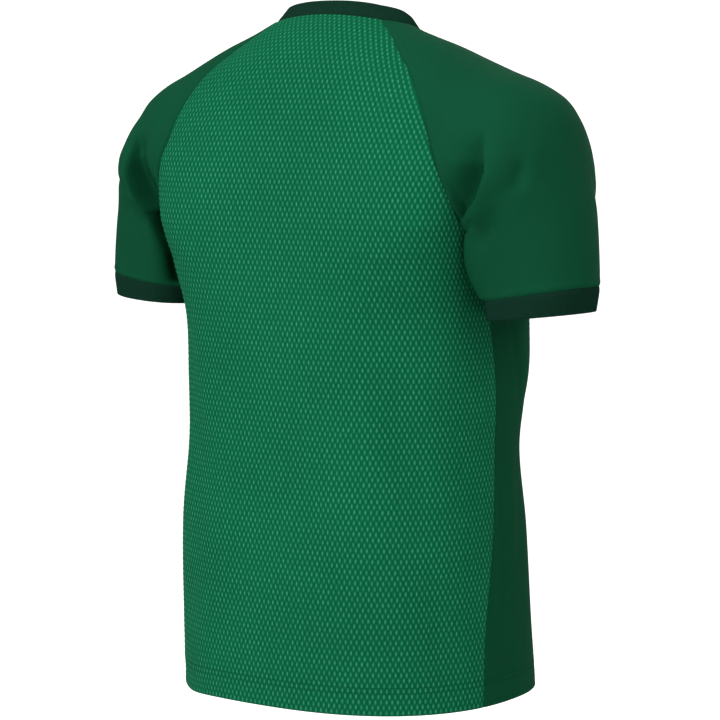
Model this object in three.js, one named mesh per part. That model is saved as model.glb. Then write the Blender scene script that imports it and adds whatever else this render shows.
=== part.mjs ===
// A short-sleeved football jersey with raglan sleeves, filled out as if worn, with nothing inside.
// Millimetres, +Z up. The front faces -Y, the wearer's left is +X.
// The origin is the middle of the neck base, where the wearer's shoulders carry the jersey.
import * as THREE from 'three';

// Cloth
const PANEL_WALL = 1.5;
const HEM_WALL = 2.6;
const HEM_TOP_Z = -670;
const RIB_WALL = 2.4;
const SEAM_GAP = 0.3;
const COLLAR_WIDTH = 20;
const COLLAR_LEAN = 0.9;
const COLLAR_SIDE_LEAN = 1.05;
const COLLAR_SMOOTHING = 3;
const NECK_MIDDLE_Y = -6;

// How finely the pieces are divided
const PANEL_COLUMNS = 20;
const SLEEVE_COLUMNS = 26;
const CURVE_STEPS = 120;
const RAGLAN_STEPS = 15;
const UNDERARM_STEPS = 3;
const TUBE_STEPS = 5;
const CUFF_STEPS = 2;
const COLLAR_STEPS = 3;

// Colours
const KNIT_GREEN = 0x166a48;
const SLEEVE_GREEN = 0x114c32;
const SIDE_GREEN = 0x103f29;
const RIB_GREEN = 0x143226;
const CLOTH_ROUGHNESS = 0.85;

// Sections of a sleeve, from the neck down to the end of the cuff. Each is a ring about the arm, in the
// plane through its seam point and its crown point. back and front are the ring's half depths, wrap is
// how far it runs from the crown to the seam in degrees, square is how boxy its inner half is, and
// frontDrop is how far the ring falls from its back seam to its front one.
const SLEEVE = columns(
  ['seamX', 'seamZ', 'crownX', 'crownZ', 'middleY', 'back', 'front', 'wrap', 'square', 'frontDrop'],
  [
    [64, 3, 83, 3, 14, 54, 81, 40, 2, 31],
    [86, -14, 106, -7, 14, 59, 80, 54, 2, 26],
    [107, -33, 132, -18, 13, 72, 83, 64, 2, 21],
    [126, -51, 161, -32.5, 11, 84, 89, 69, 2, 16],
    [142, -74, 190, -46.5, 8, 96, 94, 74, 2, 11],
    [154, -97, 219, -59, 5, 103, 97, 80, 2, 7],
    [163, -120, 242, -75, 2, 108, 99, 89, 2, 3],
    [172, -142, 255, -95.5, 1, 113, 99, 98, 2.1, 1],
    [179, -166, 262, -116, 2, 113, 97, 113, 2.4, 0],
    [184, -189, 267, -134, 4, 107, 93, 127, 2.9, 0],
    [185, -205, 271, -150, 5, 98, 87, 144, 3.4, 0],
    [186, -213, 275, -166, 7, 90, 81, 180, 3.6, 0],
    [187.3, -226, 280, -185, 9, 82, 75.5, 180, 3.6, 0],
    [188.5, -241, 285.5, -208, 11.5, 75.5, 70.5, 180, 3.6, 0],
    [189.3, -260, 290.5, -235, 14, 69, 65.5, 180, 3.4, 0],
    [190, -281, 294, -264, 16, 63, 60, 180, 3, 0],
    [191, -300, 291, -290, 17, 60, 58, 180, 2.6, 0],
  ],
);
const SIDE_TOP_ROW = 10;
const UNDERARM_ROW = 11;
const CUFF_ROW = 15;
const CUFF_END_ROW = 16;

// Share of frontDrop by which a ring falls evenly; the rest comes near its front seam.
const EVEN_FALL = 0.35;

// Middle line of the back above the underarm, one row for each of the first sleeve sections.
// rise is how much higher the middle lies than the seam, middleY is the centre that the section
// curves about, and power is how boxy it is.
const BACK_YOKE = columns(
  ['rise', 'depth', 'middleY', 'power'],
  [
    [6, 61, 0, 2.5],
    [8, 80, 0, 2.4],
    [9, 97, 0, 2.4],
    [8, 110, 0, 2.5],
    [7, 120, 0, 2.6],
    [5, 128, 0, 2.8],
    [3, 134, 0, 3.1],
    [1, 138, 0.5, 3.5],
    [0, 141, 1, 3.9],
    [0, 142.5, 1.5, 4.3],
    [0, 143.5, 2, 4.6],
  ],
);

// Middle line of the front above the underarm, with the round neckline at its first row.
const FRONT_YOKE = columns(
  ['height', 'depth', 'middleY', 'power'],
  [
    [-70, 78, 110, 2.1],
    [-83, 88, 86, 2.1],
    [-97, 97, 64, 2.2],
    [-111, 105, 46, 2.3],
    [-125, 112, 32, 2.4],
    [-139, 118, 22, 2.6],
    [-153, 123, 14, 2.9],
    [-167, 127, 8, 3.3],
    [-181, 130, 4, 3.8],
    [-194, 132, 3, 4.2],
    [-205, 133, 2, 4.6],
  ],
);

// How sharply a row's height changes towards the seam.
const DIP_POWER = 2;
const FRONT_DIP_POWER = 2.2;

// Sections of the body, from the underarm down to the hem. sideBack and sideFront are where the
// side panel's two seams run.
const BODY = columns(
  ['z', 'halfWidth', 'back', 'front', 'power', 'middleY', 'sideBack', 'sideFront'],
  [
    [-205, 186, 141.5, 135, 4.6, 2, 76, -58],
    [-228, 182.5, 142.5, 135, 4.2, 1, 48, -62],
    [-252, 180.5, 143.5, 135, 3.5, 0, 30, -66],
    [-300, 179.5, 146, 134.5, 2.7, -3, 19, -70],
    [-370, 180.5, 147, 132, 2.5, -4, 9, -74],
    [-440, 178.5, 147, 130, 2.4, -1, 7, -76],
    [-520, 183, 152.5, 135, 2.5, -3, 16, -80],
    [-620, 186.5, 162, 144.5, 2.4, -7, 32, -86],
    [-672, 188.6, 167, 149, 2.36, -10, 36, -89],
    [-698, 189.5, 169, 151, 2.35, -11, 38, -90],
  ],
);
const BODY_ROW_STEPS = [2, 1, 2, 2, 3, 3, 4, 2, 1];

// Rows that the side panel takes to leave the armhole seam's shape
const SIDE_FADE_ROWS = 2;

// Folds: a soft ridge (height over 0) or trough (under 0) along a line between two places, which at its
// ends keeps the named share of its height.
const FOLD_END_SHARE = 0.35;
const FOLDS = [
  { from: [211, 106, -136], to: [193, 95, -194], height: -17, width: 14 },
  { from: [232, 99, -142], to: [204, 95, -202], height: 5, width: 12 },
  { from: [252, 84, -138], to: [206, 84, -212], height: -5, width: 12 },
  { from: [206, -92, -136], to: [192, -78, -194], height: -8, width: 14 },
  { from: [246, -76, -138], to: [206, -72, -208], height: -4, width: 10 },
  { from: [268, 40, -92], to: [281, 20, -128], height: 3, width: 14 },
  { from: [150, 118, -330], to: [118, 148, -470], height: -3, width: 26 },
  { from: [60, 150, -420], to: [92, 150, -640], height: 2.5, width: 30 },
  { from: [170, -40, -470], to: [180, -20, -660], height: -2.5, width: 16 },
  { from: [150, -100, -330], to: [120, -128, -500], height: -3, width: 26 },
  { from: [50, -142, -400], to: [80, -146, -660], height: 2.5, width: 30 },
];

// Turns rows of a table into named columns.
function columns(names, rows) {
  return Object.fromEntries(names.map((name, k) => [name, rows.map((row) => row[k])]));
}

// Smooth value of a column at a place counted in rows.
function smooth(column, at) {
  const last = column.length - 1;
  const slope = (k) => {
    const low = Math.max(k - 1, 0);
    const high = Math.min(k + 1, last);
    return (column[high] - column[low]) / (high - low);
  };
  const row = Math.min(Math.floor(at), last - 1);
  const f = at - row;
  const start = column[row] * (1 + 2 * f) * (1 - f) ** 2 + slope(row) * f * (1 - f) ** 2;
  const end = column[row + 1] * f * f * (3 - 2 * f) - slope(row + 1) * f * f * (1 - f);
  return start + end;
}

function rowOf(table, at) {
  return Object.fromEntries(Object.entries(table).map(([name, column]) => [name, smooth(column, at)]));
}

function signedPower(value, power) {
  return Math.sign(value) * Math.abs(value) ** power;
}

// Point of the left sleeve: at counts table rows, turn runs from -1 at the front seam to 1 at the back.
function sleevePoint(at, turn) {
  const row = rowOf(SLEEVE, at);
  const wrap = THREE.MathUtils.degToRad(Math.min(row.wrap, 180));
  const inner = 2 / row.square;
  const acrossX = row.crownX - row.seamX;
  const acrossZ = row.crownZ - row.seamZ;
  const powerAt = (angle) => (Math.abs(angle) > Math.PI / 2 ? inner : 1);
  const dropAt = (angle) => 1 - signedPower(Math.cos(angle), powerAt(angle));
  const angle = wrap * turn;
  const share = dropAt(angle) / dropAt(wrap);
  const depth = turn > 0 ? row.back : row.front;
  const round = (1 - turn) / 2;
  const frontShare = EVEN_FALL * round + (1 - EVEN_FALL) * round ** 3;
  return new THREE.Vector3(
    row.crownX - acrossX * share,
    row.middleY + depth * signedPower(Math.sin(angle), powerAt(angle)),
    row.crownZ - acrossZ * share - row.frontDrop * frontShare,
  );
}

// Half of a boxy oval: from the middle, at depth along side, to the end point.
function panelCurve(middle, end, middleY, power, dipPower) {
  const reach = Math.abs(middle.y - middleY);
  const endShare = Math.min(Math.abs(end.y - middleY) / reach, 1);
  const fullWidth = end.x / (1 - endShare ** power) ** (1 / power);
  const side = Math.sign(middle.y);
  return (share) => {
    const x = end.x * share;
    const y = middleY + side * reach * (1 - (x / fullWidth) ** power) ** (1 / power);
    return new THREE.Vector3(x, y, middle.z + (end.z - middle.z) * share ** dipPower);
  };
}

// Points of a curve at even steps along its length, both ends kept.
function evenPoints(curve, from, to, count) {
  const fine = [];
  for (let k = 0; k <= CURVE_STEPS; k++) {
    fine.push(curve(THREE.MathUtils.lerp(from, to, k / CURVE_STEPS)));
  }
  const lengths = [0];
  for (let k = 1; k < fine.length; k++) {
    lengths.push(lengths[k - 1] + fine[k].distanceTo(fine[k - 1]));
  }
  const points = [];
  let k = 1;
  for (let n = 0; n <= count; n++) {
    const wanted = (lengths[CURVE_STEPS] * n) / count;
    while (k < CURVE_STEPS && lengths[k] < wanted) {
      k += 1;
    }
    const share = (wanted - lengths[k - 1]) / (lengths[k] - lengths[k - 1]);
    points.push(fine[k - 1].clone().lerp(fine[k], Math.min(share, 1)));
  }
  points[0] = fine[0];
  points[count] = fine[CURVE_STEPS];
  return points;
}

// Place on the body's section with a given depth Y, on the wearer's left.
function bodyPoint(row, y) {
  const reach = y > row.middleY ? row.back : row.front;
  const share = Math.min(Math.abs(y - row.middleY) / reach, 1);
  return new THREE.Vector3(row.halfWidth * (1 - share ** row.power) ** (1 / row.power), y, row.z);
}

// Rows of places along the raglan seam, then down the body, with the same steps for every piece.
function steps(from, to, count) {
  return Array.from({ length: count }, (_, k) => from + ((to - from) * (k + 1)) / count);
}
const YOKE_ROWS = [0, ...steps(0, SIDE_TOP_ROW, RAGLAN_STEPS)];
const UNDERARM_ROWS = steps(SIDE_TOP_ROW, UNDERARM_ROW, UNDERARM_STEPS);
const BODY_ROWS = BODY_ROW_STEPS.flatMap((count, row) => steps(row, row + 1, count));

// Top edge of the left side panel, which is the sleeve's seam below its first row.
function sideTop() {
  const back = [SIDE_TOP_ROW, ...UNDERARM_ROWS].map((at) => sleevePoint(at, 1));
  const front = [SIDE_TOP_ROW, ...UNDERARM_ROWS.slice(0, -1)].reverse().map((at) => sleevePoint(at, -1));
  return [...back, ...front];
}

// Row of the left side panel, from its back seam to its front seam.
function sideRow(at) {
  const row = rowOf(BODY, at);
  const top = sideTop();
  const topRow = rowOf(BODY, 0);
  const fade = Math.max(1 - at / SIDE_FADE_ROWS, 0) ** 2;
  return top.map((seam, k) => {
    const share = k / (top.length - 1);
    const point = bodyPoint(row, THREE.MathUtils.lerp(row.sideBack, row.sideFront, share));
    const start = bodyPoint(topRow, THREE.MathUtils.lerp(topRow.sideBack, topRow.sideFront, share));
    return point.add(seam.clone().sub(start).multiplyScalar(fade));
  });
}

// Row of a whole panel from the wearer's left to the right, worked out from its left half.
function wholeRow(half) {
  const left = [...half].reverse();
  return [...left, ...half.slice(1).map(mirrored)];
}

function mirrored(point) {
  return new THREE.Vector3(-point.x, point.y, point.z);
}

function panelRow(curve, end) {
  const half = evenPoints(curve, 0, 1, PANEL_COLUMNS / 2);
  return wholeRow([...half.slice(0, -1), end]);
}

// Row of the back (side 1) or the front (side -1) above the underarm, between the raglan seams.
function yokeRow(side, at) {
  const yoke = rowOf(side > 0 ? BACK_YOKE : FRONT_YOKE, at);
  const end = sleevePoint(at, side);
  const height = side > 0 ? end.z + yoke.rise : yoke.height;
  const middle = new THREE.Vector3(0, side * yoke.depth, height);
  const dip = side > 0 ? DIP_POWER : FRONT_DIP_POWER;
  return panelRow(panelCurve(middle, end, yoke.middleY, yoke.power, dip), end);
}

// Row of the back or the front below the underarm, between the side panels.
function bodyRow(side, at) {
  const row = rowOf(BODY, at);
  const edge = sideRow(at);
  const end = side > 0 ? edge[0] : edge[edge.length - 1];
  const depth = side > 0 ? row.back : row.front;
  const middle = new THREE.Vector3(0, row.middleY + side * depth, row.z);
  return panelRow(panelCurve(middle, end, row.middleY, row.power, DIP_POWER), end);
}

function panelGrid(side) {
  return [...YOKE_ROWS.map((at) => yokeRow(side, at)), ...BODY_ROWS.map((at) => bodyRow(side, at))];
}

function sleeveGrid() {
  const rows = [...YOKE_ROWS, ...UNDERARM_ROWS, ...steps(UNDERARM_ROW, CUFF_ROW, TUBE_STEPS)];
  return rows.map((at) => evenPoints((turn) => sleevePoint(at, turn), 1, -1, SLEEVE_COLUMNS));
}

function cuffGrid() {
  const rows = [CUFF_ROW, ...steps(CUFF_ROW, CUFF_END_ROW, CUFF_STEPS)];
  return rows.map((at) => evenPoints((turn) => sleevePoint(at, turn), 1, -1, SLEEVE_COLUMNS));
}

function sideGrid() {
  return [sideTop(), ...BODY_ROWS.map(sideRow)];
}

// Collar: the neck edge of all four pieces, carried up and inward by the rib's width.
function collarGrid() {
  const back = panelGrid(1)[0];
  const left = sleeveGrid()[0];
  const front = panelGrid(-1)[0];
  const right = left.map(mirrored).reverse();
  const edge = [...back].reverse();
  edge.push(...left.slice(1));
  edge.push(...front.slice(1));
  edge.push(...right.slice(1, -1));
  const rows = Array.from({ length: COLLAR_STEPS + 1 }, (_, k) => (COLLAR_WIDTH * k) / COLLAR_STEPS);
  const count = edge.length;
  const rise = edge.map((point, k) => {
    const next = edge[(k + COLLAR_SMOOTHING) % count];
    const along = next.clone().sub(edge[(k + count - COLLAR_SMOOTHING) % count]).normalize();
    const inward = new THREE.Vector3(-point.x, NECK_MIDDLE_Y - point.y, 0).normalize();
    const lean = THREE.MathUtils.lerp(COLLAR_LEAN, COLLAR_SIDE_LEAN, inward.x ** 2);
    const up = inward.multiplyScalar(lean).add(new THREE.Vector3(0, 0, 1));
    return up.addScaledVector(along, -up.dot(along)).normalize();
  });
  return rows.map((width) => edge.map((point, k) => point.clone().addScaledVector(rise[k], width)));
}

// Outer skin of a grid: vertices and faces. Its first and last columns are joined from row joinFrom on,
// and its facets are split the other way from column turnFrom on, so that both sides mirror each other.
function skin(grid, joinFrom, turnFrom, faceOut) {
  const width = grid[0].length;
  const index = [];
  const points = [];
  grid.forEach((row, r) => {
    index.push(row.map((point, c) => {
      if (c === width - 1 && r >= joinFrom) {
        return index[r] === undefined ? points.length - width + 1 : index[r][0];
      }
      points.push(point.clone());
      return points.length - 1;
    }));
  });
  const faces = [];
  for (let r = 0; r + 1 < grid.length; r++) {
    for (let c = 0; c + 1 < width; c++) {
      const corners = [index[r][c], index[r + 1][c], index[r + 1][c + 1], index[r][c + 1]];
      const [a, b, d, e] = c < turnFrom ? corners : [corners[1], corners[2], corners[3], corners[0]];
      faces.push(faceOut ? [a, b, d] : [d, b, a], faceOut ? [a, d, e] : [e, d, a]);
    }
  }
  return { points, faces };
}

function vertexNormals(points, faces) {
  const normals = points.map(() => new THREE.Vector3());
  for (const face of faces) {
    const [a, b, c] = face.map((k) => points[k]);
    const normal = b.clone().sub(a).cross(c.clone().sub(a));
    face.forEach((k) => normals[k].add(normal));
  }
  return normals.map((normal) => normal.normalize());
}

// Normals shared by every piece that meets at a point.
function sharedNormals(pieces) {
  const key = (point) => point.toArray().map((value) => value.toFixed(3)).join(' ');
  const sums = new Map();
  for (const piece of pieces) {
    piece.normals = vertexNormals(piece.points, piece.faces);
    piece.keys = piece.points.map(key);
    piece.keys.forEach((name, k) => {
      sums.set(name, (sums.get(name) ?? new THREE.Vector3()).add(piece.normals[k]));
    });
  }
  for (const piece of pieces) {
    piece.normals = piece.keys.map((name) => sums.get(name).clone().normalize());
  }
}

// Height of all folds together at a place on either side of the body.
function foldHeight(point) {
  const place = new THREE.Vector3(Math.abs(point.x), point.y, point.z);
  let height = 0;
  for (const fold of FOLDS) {
    const line = new THREE.Line3(new THREE.Vector3(...fold.from), new THREE.Vector3(...fold.to));
    const nearest = line.closestPointToPoint(place, true, new THREE.Vector3());
    const share = line.closestPointToPointParameter(place, true);
    const taper = FOLD_END_SHARE + (1 - FOLD_END_SHARE) * Math.sin(Math.PI * share);
    height += fold.height * taper * Math.exp(-((place.distanceTo(nearest) / fold.width) ** 2));
  }
  return height;
}

// Edges that only one face uses, each running with the piece on its left as seen from outside.
function rimEdges(faces) {
  const used = new Set();
  for (const [a, b, c] of faces) {
    used.add(`${a} ${b}`).add(`${b} ${c}`).add(`${c} ${a}`);
  }
  return [...used]
    .map((edge) => edge.split(' ').map(Number))
    .filter(([a, b]) => !used.has(`${b} ${a}`));
}

// Draws a piece back from its rim by half the seam gap.
function drawBack(piece) {
  piece.places = piece.points.map((point) => point.clone());
  const shift = piece.points.map(() => new THREE.Vector3());
  for (const [a, b] of rimEdges(piece.faces)) {
    const along = piece.points[b].clone().sub(piece.points[a]).normalize();
    for (const k of [a, b]) {
      shift[k].add(piece.normals[k].clone().cross(along).normalize().multiplyScalar(0.5));
    }
  }
  piece.points.forEach((point, k) => {
    const length = shift[k].length();
    if (length > 0) {
      point.addScaledVector(shift[k], SEAM_GAP / 2 / length ** 2);
    }
  });
}

// Whether one seam place comes before another, the same on both pieces and on both sides of the body.
function comesFirst(p, q) {
  return (p.z - q.z || Math.abs(p.x) - Math.abs(q.x) || p.y - q.y) < 0;
}

// Closed wall: the outer skin, the same skin moved in by the cloth's thickness, and the rims between.
// Facing rims of two pieces are split along the same diagonal.
function wallGeometry(piece) {
  const { points, faces, normals, thickness, places } = piece;
  const inner = points.map((point, k) => point.clone().addScaledVector(normals[k], -thickness(point)));
  const count = points.length;
  const all = [...faces];
  faces.forEach(([a, b, c]) => all.push([c + count, b + count, a + count]));
  for (const [a, b] of rimEdges(faces)) {
    if (comesFirst(places[a], places[b])) {
      all.push([b, a, a + count], [b, a + count, b + count]);
    } else {
      all.push([b, a, b + count], [a, a + count, b + count]);
    }
  }
  const geometry = new THREE.BufferGeometry();
  const positions = [...points, ...inner].flatMap((point) => point.toArray());
  geometry.setAttribute('position', new THREE.Float32BufferAttribute(positions, 3));
  geometry.setIndex(all.flat());
  geometry.computeVertexNormals();
  return geometry;
}

const panelWall = (point) => (point.z < HEM_TOP_Z ? HEM_WALL : PANEL_WALL);
const ribWall = () => RIB_WALL;
const NEVER = Infinity;

function mirroredGrid(grid) {
  return grid.map((row) => row.map(mirrored));
}

function closedGrid(grid) {
  return grid.map((row) => [...row, row[0]]);
}

function makePiece(name, grid, joinFrom, turnFrom, faceOut, thickness, color) {
  const material = new THREE.MeshStandardMaterial({ color, roughness: CLOTH_ROUGHNESS, metalness: 0 });
  return { name, ...skin(grid, joinFrom, turnFrom, faceOut), thickness, material };
}

const underarmIndex = YOKE_ROWS.length + UNDERARM_ROWS.length - 1;
const midColumn = PANEL_COLUMNS / 2;
const pieces = [
  makePiece('back', panelGrid(1), NEVER, midColumn, true, panelWall, KNIT_GREEN),
  makePiece('front', panelGrid(-1), NEVER, midColumn, false, panelWall, KNIT_GREEN),
  makePiece('side_left', sideGrid(), NEVER, NEVER, false, panelWall, SIDE_GREEN),
  makePiece('side_right', mirroredGrid(sideGrid()), NEVER, NEVER, true, panelWall, SIDE_GREEN),
  makePiece('sleeve_left', sleeveGrid(), underarmIndex, NEVER, false, panelWall, SLEEVE_GREEN),
  makePiece('sleeve_right', mirroredGrid(sleeveGrid()), underarmIndex, NEVER, true, panelWall, SLEEVE_GREEN),
  makePiece('cuff_left', cuffGrid(), 0, NEVER, false, ribWall, RIB_GREEN),
  makePiece('cuff_right', mirroredGrid(cuffGrid()), 0, NEVER, true, ribWall, RIB_GREEN),
  makePiece('collar', closedGrid(collarGrid()), 0, NEVER, true, ribWall, RIB_GREEN),
];

sharedNormals(pieces);
for (const piece of pieces) {
  piece.points.forEach((point, k) => point.addScaledVector(piece.normals[k], foldHeight(point)));
}
sharedNormals(pieces);

const jersey = new THREE.Group();
for (const piece of pieces) {
  drawBack(piece);
  const mesh = new THREE.Mesh(wallGeometry(piece), piece.material);
  mesh.name = piece.name;
  jersey.add(mesh);
}

export default jersey;
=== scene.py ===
"""A short-sleeved football jersey with raglan sleeves, filled out as if worn, with nothing inside.

The tables are in millimetres, as a pattern cutter's are, and MM turns them into metres. The front faces
-Y, the wearer's left is +X, and the origin is the middle of the neck base.
"""

import math

import bpy
import numpy as np
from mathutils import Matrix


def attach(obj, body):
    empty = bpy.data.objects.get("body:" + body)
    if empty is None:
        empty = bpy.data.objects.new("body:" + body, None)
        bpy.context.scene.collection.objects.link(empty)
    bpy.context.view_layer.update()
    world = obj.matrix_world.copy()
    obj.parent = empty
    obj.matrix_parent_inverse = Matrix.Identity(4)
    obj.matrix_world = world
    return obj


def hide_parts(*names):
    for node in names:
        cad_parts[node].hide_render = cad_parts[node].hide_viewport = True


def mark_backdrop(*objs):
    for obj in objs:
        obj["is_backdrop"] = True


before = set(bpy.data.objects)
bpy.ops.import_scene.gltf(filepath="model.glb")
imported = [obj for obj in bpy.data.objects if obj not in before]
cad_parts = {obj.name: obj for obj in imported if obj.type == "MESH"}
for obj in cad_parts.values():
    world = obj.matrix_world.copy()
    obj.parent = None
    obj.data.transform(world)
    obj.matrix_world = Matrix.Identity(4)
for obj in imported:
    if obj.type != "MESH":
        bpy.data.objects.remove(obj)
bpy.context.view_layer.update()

MM = 0.001

# Cloth
PANEL_CLOTH = 0.8
RIB_WALL = 2.3
COLLAR_WIDTH = 20
COLLAR_LEAN = 0.9
COLLAR_SIDE_LEAN = 0.8
COLLAR_SMOOTHING = 15
NECK_MIDDLE_Y = -6
RIB_PITCH = 1.8
RIB_HEIGHT = 0.28
RIB_SAMPLES = 4

# Sewing
SEAM_DIP = 0.7
SEAM_ROLL = 1.9
ALLOWANCE_HEIGHT = 0.4
ALLOWANCE_WIDTH = 7
ALLOWANCE_STEP = 0.8
HEM_STITCH_RISE = 28.5
HEM_ROW_GAP = 5.3
HEM_CLEAR = 2.2
CUFF_STITCH_RISE = 4.6
STITCH_LENGTH = 2.3
STITCH_STEP = 3.1
THREAD = 0.45

# Knit of the back and front: staggered rows of small raised dashes. Towards the neck they fan out, by the
# named slope for each metre from the middle, and grow shorter, down to the named share of their length.
DASH_COLUMN = 5.68
DASH_ROW = 5.5
DASH_WIDTH = 2.15
DASH_LENGTH = 4.6
DASH_HEIGHT = 0.3
DASH_SIDES = 8
FAN_SLOPE = 4
FAN_REACH = 190
NECK_SHARE = 0.65

# How finely the pieces are divided
PANEL_COLUMNS = 120
SLEEVE_COLUMNS = 140
SIDE_COLUMNS = 40
CURVE_STEPS = 300
RAGLAN_STEPS = 90
TUBE_STEPS = 34
BODY_STEP = 0.06
EDGE_CROWDING = 0.7
BAND_ROWS = 12

# Sections of a sleeve, from the neck down to the end of the cuff. Each is a ring about the arm, in the
# plane through its seam point and its crown point. back and front are the ring's half depths, wrap is
# how far it runs from the crown to the seam in degrees, square is how boxy its inner half is, and
# front_drop is how far the ring falls from its back seam to its front one.
SLEEVE_NAMES = "seam_x seam_z crown_x crown_z middle_y back front wrap square front_drop"
SLEEVE_ROWS = [
    (64, 3, 83, 3, 14, 54, 81, 40, 2, 31),
    (86, -14, 106, -7, 14, 59, 80, 54, 2, 26),
    (107, -33, 132, -18, 13, 72, 83, 64, 2, 21),
    (126, -51, 161, -32.5, 11, 84, 89, 69, 2, 16),
    (142, -74, 190, -46.5, 8, 96, 94, 74, 2, 11),
    (154, -97, 219, -59, 5, 103, 97, 80, 2, 7),
    (163, -120, 242, -75, 2, 108, 99, 89, 2, 3),
    (172, -142, 255, -95.5, 1, 113, 99, 98, 2.1, 1),
    (179, -166, 262, -116, 2, 113, 97, 113, 2.4, 0),
    (184, -189, 267, -134, 4, 107, 93, 127, 2.9, 0),
    (185, -205, 271, -150, 5, 98, 87, 144, 3.4, 0),
    (186, -213, 275, -166, 7, 90, 81, 180, 3.6, 0),
    (187.3, -226, 280, -185, 9, 82, 75.5, 180, 3.6, 0),
    (188.5, -241, 285.5, -208, 11.5, 75.5, 70.5, 180, 3.6, 0),
    (189.3, -260, 290.5, -235, 14, 69, 65.5, 180, 3.4, 0),
    (190, -281, 294, -264, 16, 63, 60, 180, 3, 0),
    (191, -300, 291, -290, 17, 60, 58, 180, 2.6, 0),
]
SIDE_TOP_ROW = 10
UNDERARM_ROW = 11
CUFF_ROW = 15
CUFF_END_ROW = 16

# Share of front_drop by which a ring falls evenly; the rest comes near its front seam.
EVEN_FALL = 0.35

# Middle line of the back above the underarm, one row for each of the first sleeve sections.
# rise is how much higher the middle lies than the seam, middle_y is the centre that the section
# curves about, and power is how boxy it is.
BACK_YOKE_NAMES = "rise depth middle_y power"
BACK_YOKE_ROWS = [
    (6, 61, 0, 2.5),
    (8, 80, 0, 2.4),
    (9, 97, 0, 2.4),
    (8, 110, 0, 2.5),
    (7, 120, 0, 2.6),
    (5, 128, 0, 2.8),
    (3, 134, 0, 3.1),
    (1, 138, 0.5, 3.5),
    (0, 141, 1, 3.9),
    (0, 142.5, 1.5, 4.3),
    (0, 143.5, 2, 4.6),
]

# Middle line of the front above the underarm, with the round neckline at its first row.
FRONT_YOKE_NAMES = "height depth middle_y power"
FRONT_YOKE_ROWS = [
    (-70, 78, 110, 2.1),
    (-83, 88, 86, 2.1),
    (-97, 97, 64, 2.2),
    (-111, 105, 46, 2.3),
    (-125, 112, 32, 2.4),
    (-139, 118, 22, 2.6),
    (-153, 123, 14, 2.9),
    (-167, 127, 8, 3.3),
    (-181, 130, 4, 3.8),
    (-194, 132, 3, 4.2),
    (-205, 133, 2, 4.6),
]

# How sharply a row's height changes towards the seam.
DIP_POWER = 2
FRONT_DIP_POWER = 2.2

# Sections of the body, from the underarm down to the hem. side_back and side_front are where the
# side panel's two seams run.
BODY_NAMES = "z half_width back front power middle_y side_back side_front"
BODY_ROWS = [
    (-205, 186, 141.5, 135, 4.6, 2, 76, -58),
    (-228, 182.5, 142.5, 135, 4.2, 1, 48, -62),
    (-252, 180.5, 143.5, 135, 3.5, 0, 30, -66),
    (-300, 179.5, 146, 134.5, 2.7, -3, 19, -70),
    (-370, 180.5, 147, 132, 2.5, -4, 9, -74),
    (-440, 178.5, 147, 130, 2.4, -1, 7, -76),
    (-520, 183, 152.5, 135, 2.5, -3, 16, -80),
    (-620, 186.5, 162, 144.5, 2.4, -7, 32, -86),
    (-672, 188.6, 167, 149, 2.36, -10, 36, -89),
    (-698, 189.5, 169, 151, 2.35, -11, 38, -90),
]
SIDE_FADE_ROWS = 2

# Folds: a soft ridge (height over 0) or trough (under 0) along a line between two places, given as start,
# end, height and width, which at its ends keeps the named share of its height. They lie on both sides,
# first the sleeves' folds, which fade out at the seams, then the body's.
FOLD_END_SHARE = 0.35
SLEEVE_FOLDS = [
    ((211, 106, -136), (193, 95, -194), -17, 14),
    ((232, 99, -142), (204, 95, -202), 5, 12),
    ((252, 84, -138), (206, 84, -212), -5, 12),
    ((206, -92, -136), (192, -78, -194), -8, 14),
    ((246, -76, -138), (206, -72, -208), -4, 10),
    ((268, 40, -92), (281, 20, -128), 3, 14),
]
BODY_FOLDS = [
    ((150, 118, -330), (118, 148, -470), -3, 26),
    ((60, 150, -420), (92, 150, -640), 2.5, 30),
    ((170, -40, -470), (180, -20, -660), -2.5, 16),
    ((150, -100, -330), (120, -128, -500), -3, 26),
    ((50, -142, -400), (80, -146, -660), 2.5, 30),
]

# Smaller creases, each on one side only: the right sleeve's, then the left one's, and on the body the
# back's, the front's and the side panels'.
SLEEVE_CREASES = [
    ((-257, 78, -140), (-212, 88, -216), -8, 8),
    ((-262, 60, -120), (-228, 92, -190), 2, 10),
    ((-286, -14, -206), (-270, 48, -222), -1.8, 7),
    ((-193, 78, -202), (-190, 60, -278), 14, 14),
    ((-240, 40, -88), (-262, 18, -120), -1.4, 12),
    ((-226, -92, -146), (-198, -80, -190), -5, 9),
    ((-238, -86, -150), (-204, -78, -200), 3, 7),
    ((-272, -30, -150), (-240, -66, -220), -2, 10),
    ((252, 74, -136), (210, 88, -210), -2, 8),
    ((232, 58, -99), (206, 100, -106), -3.5, 10),
    ((236, 94, -172), (220, 108, -174), -2, 8),
    ((192, 68, -212), (189, 40, -298), -13, 15),
    ((196, 90, -196), (192, 74, -230), -13, 10),
    ((224, -92, -140), (196, -80, -188), -4, 9),
    ((240, -84, -146), (206, -78, -204), 3, 8),
    ((284, -10, -190), (252, -52, -214), -2, 9),
]
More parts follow.
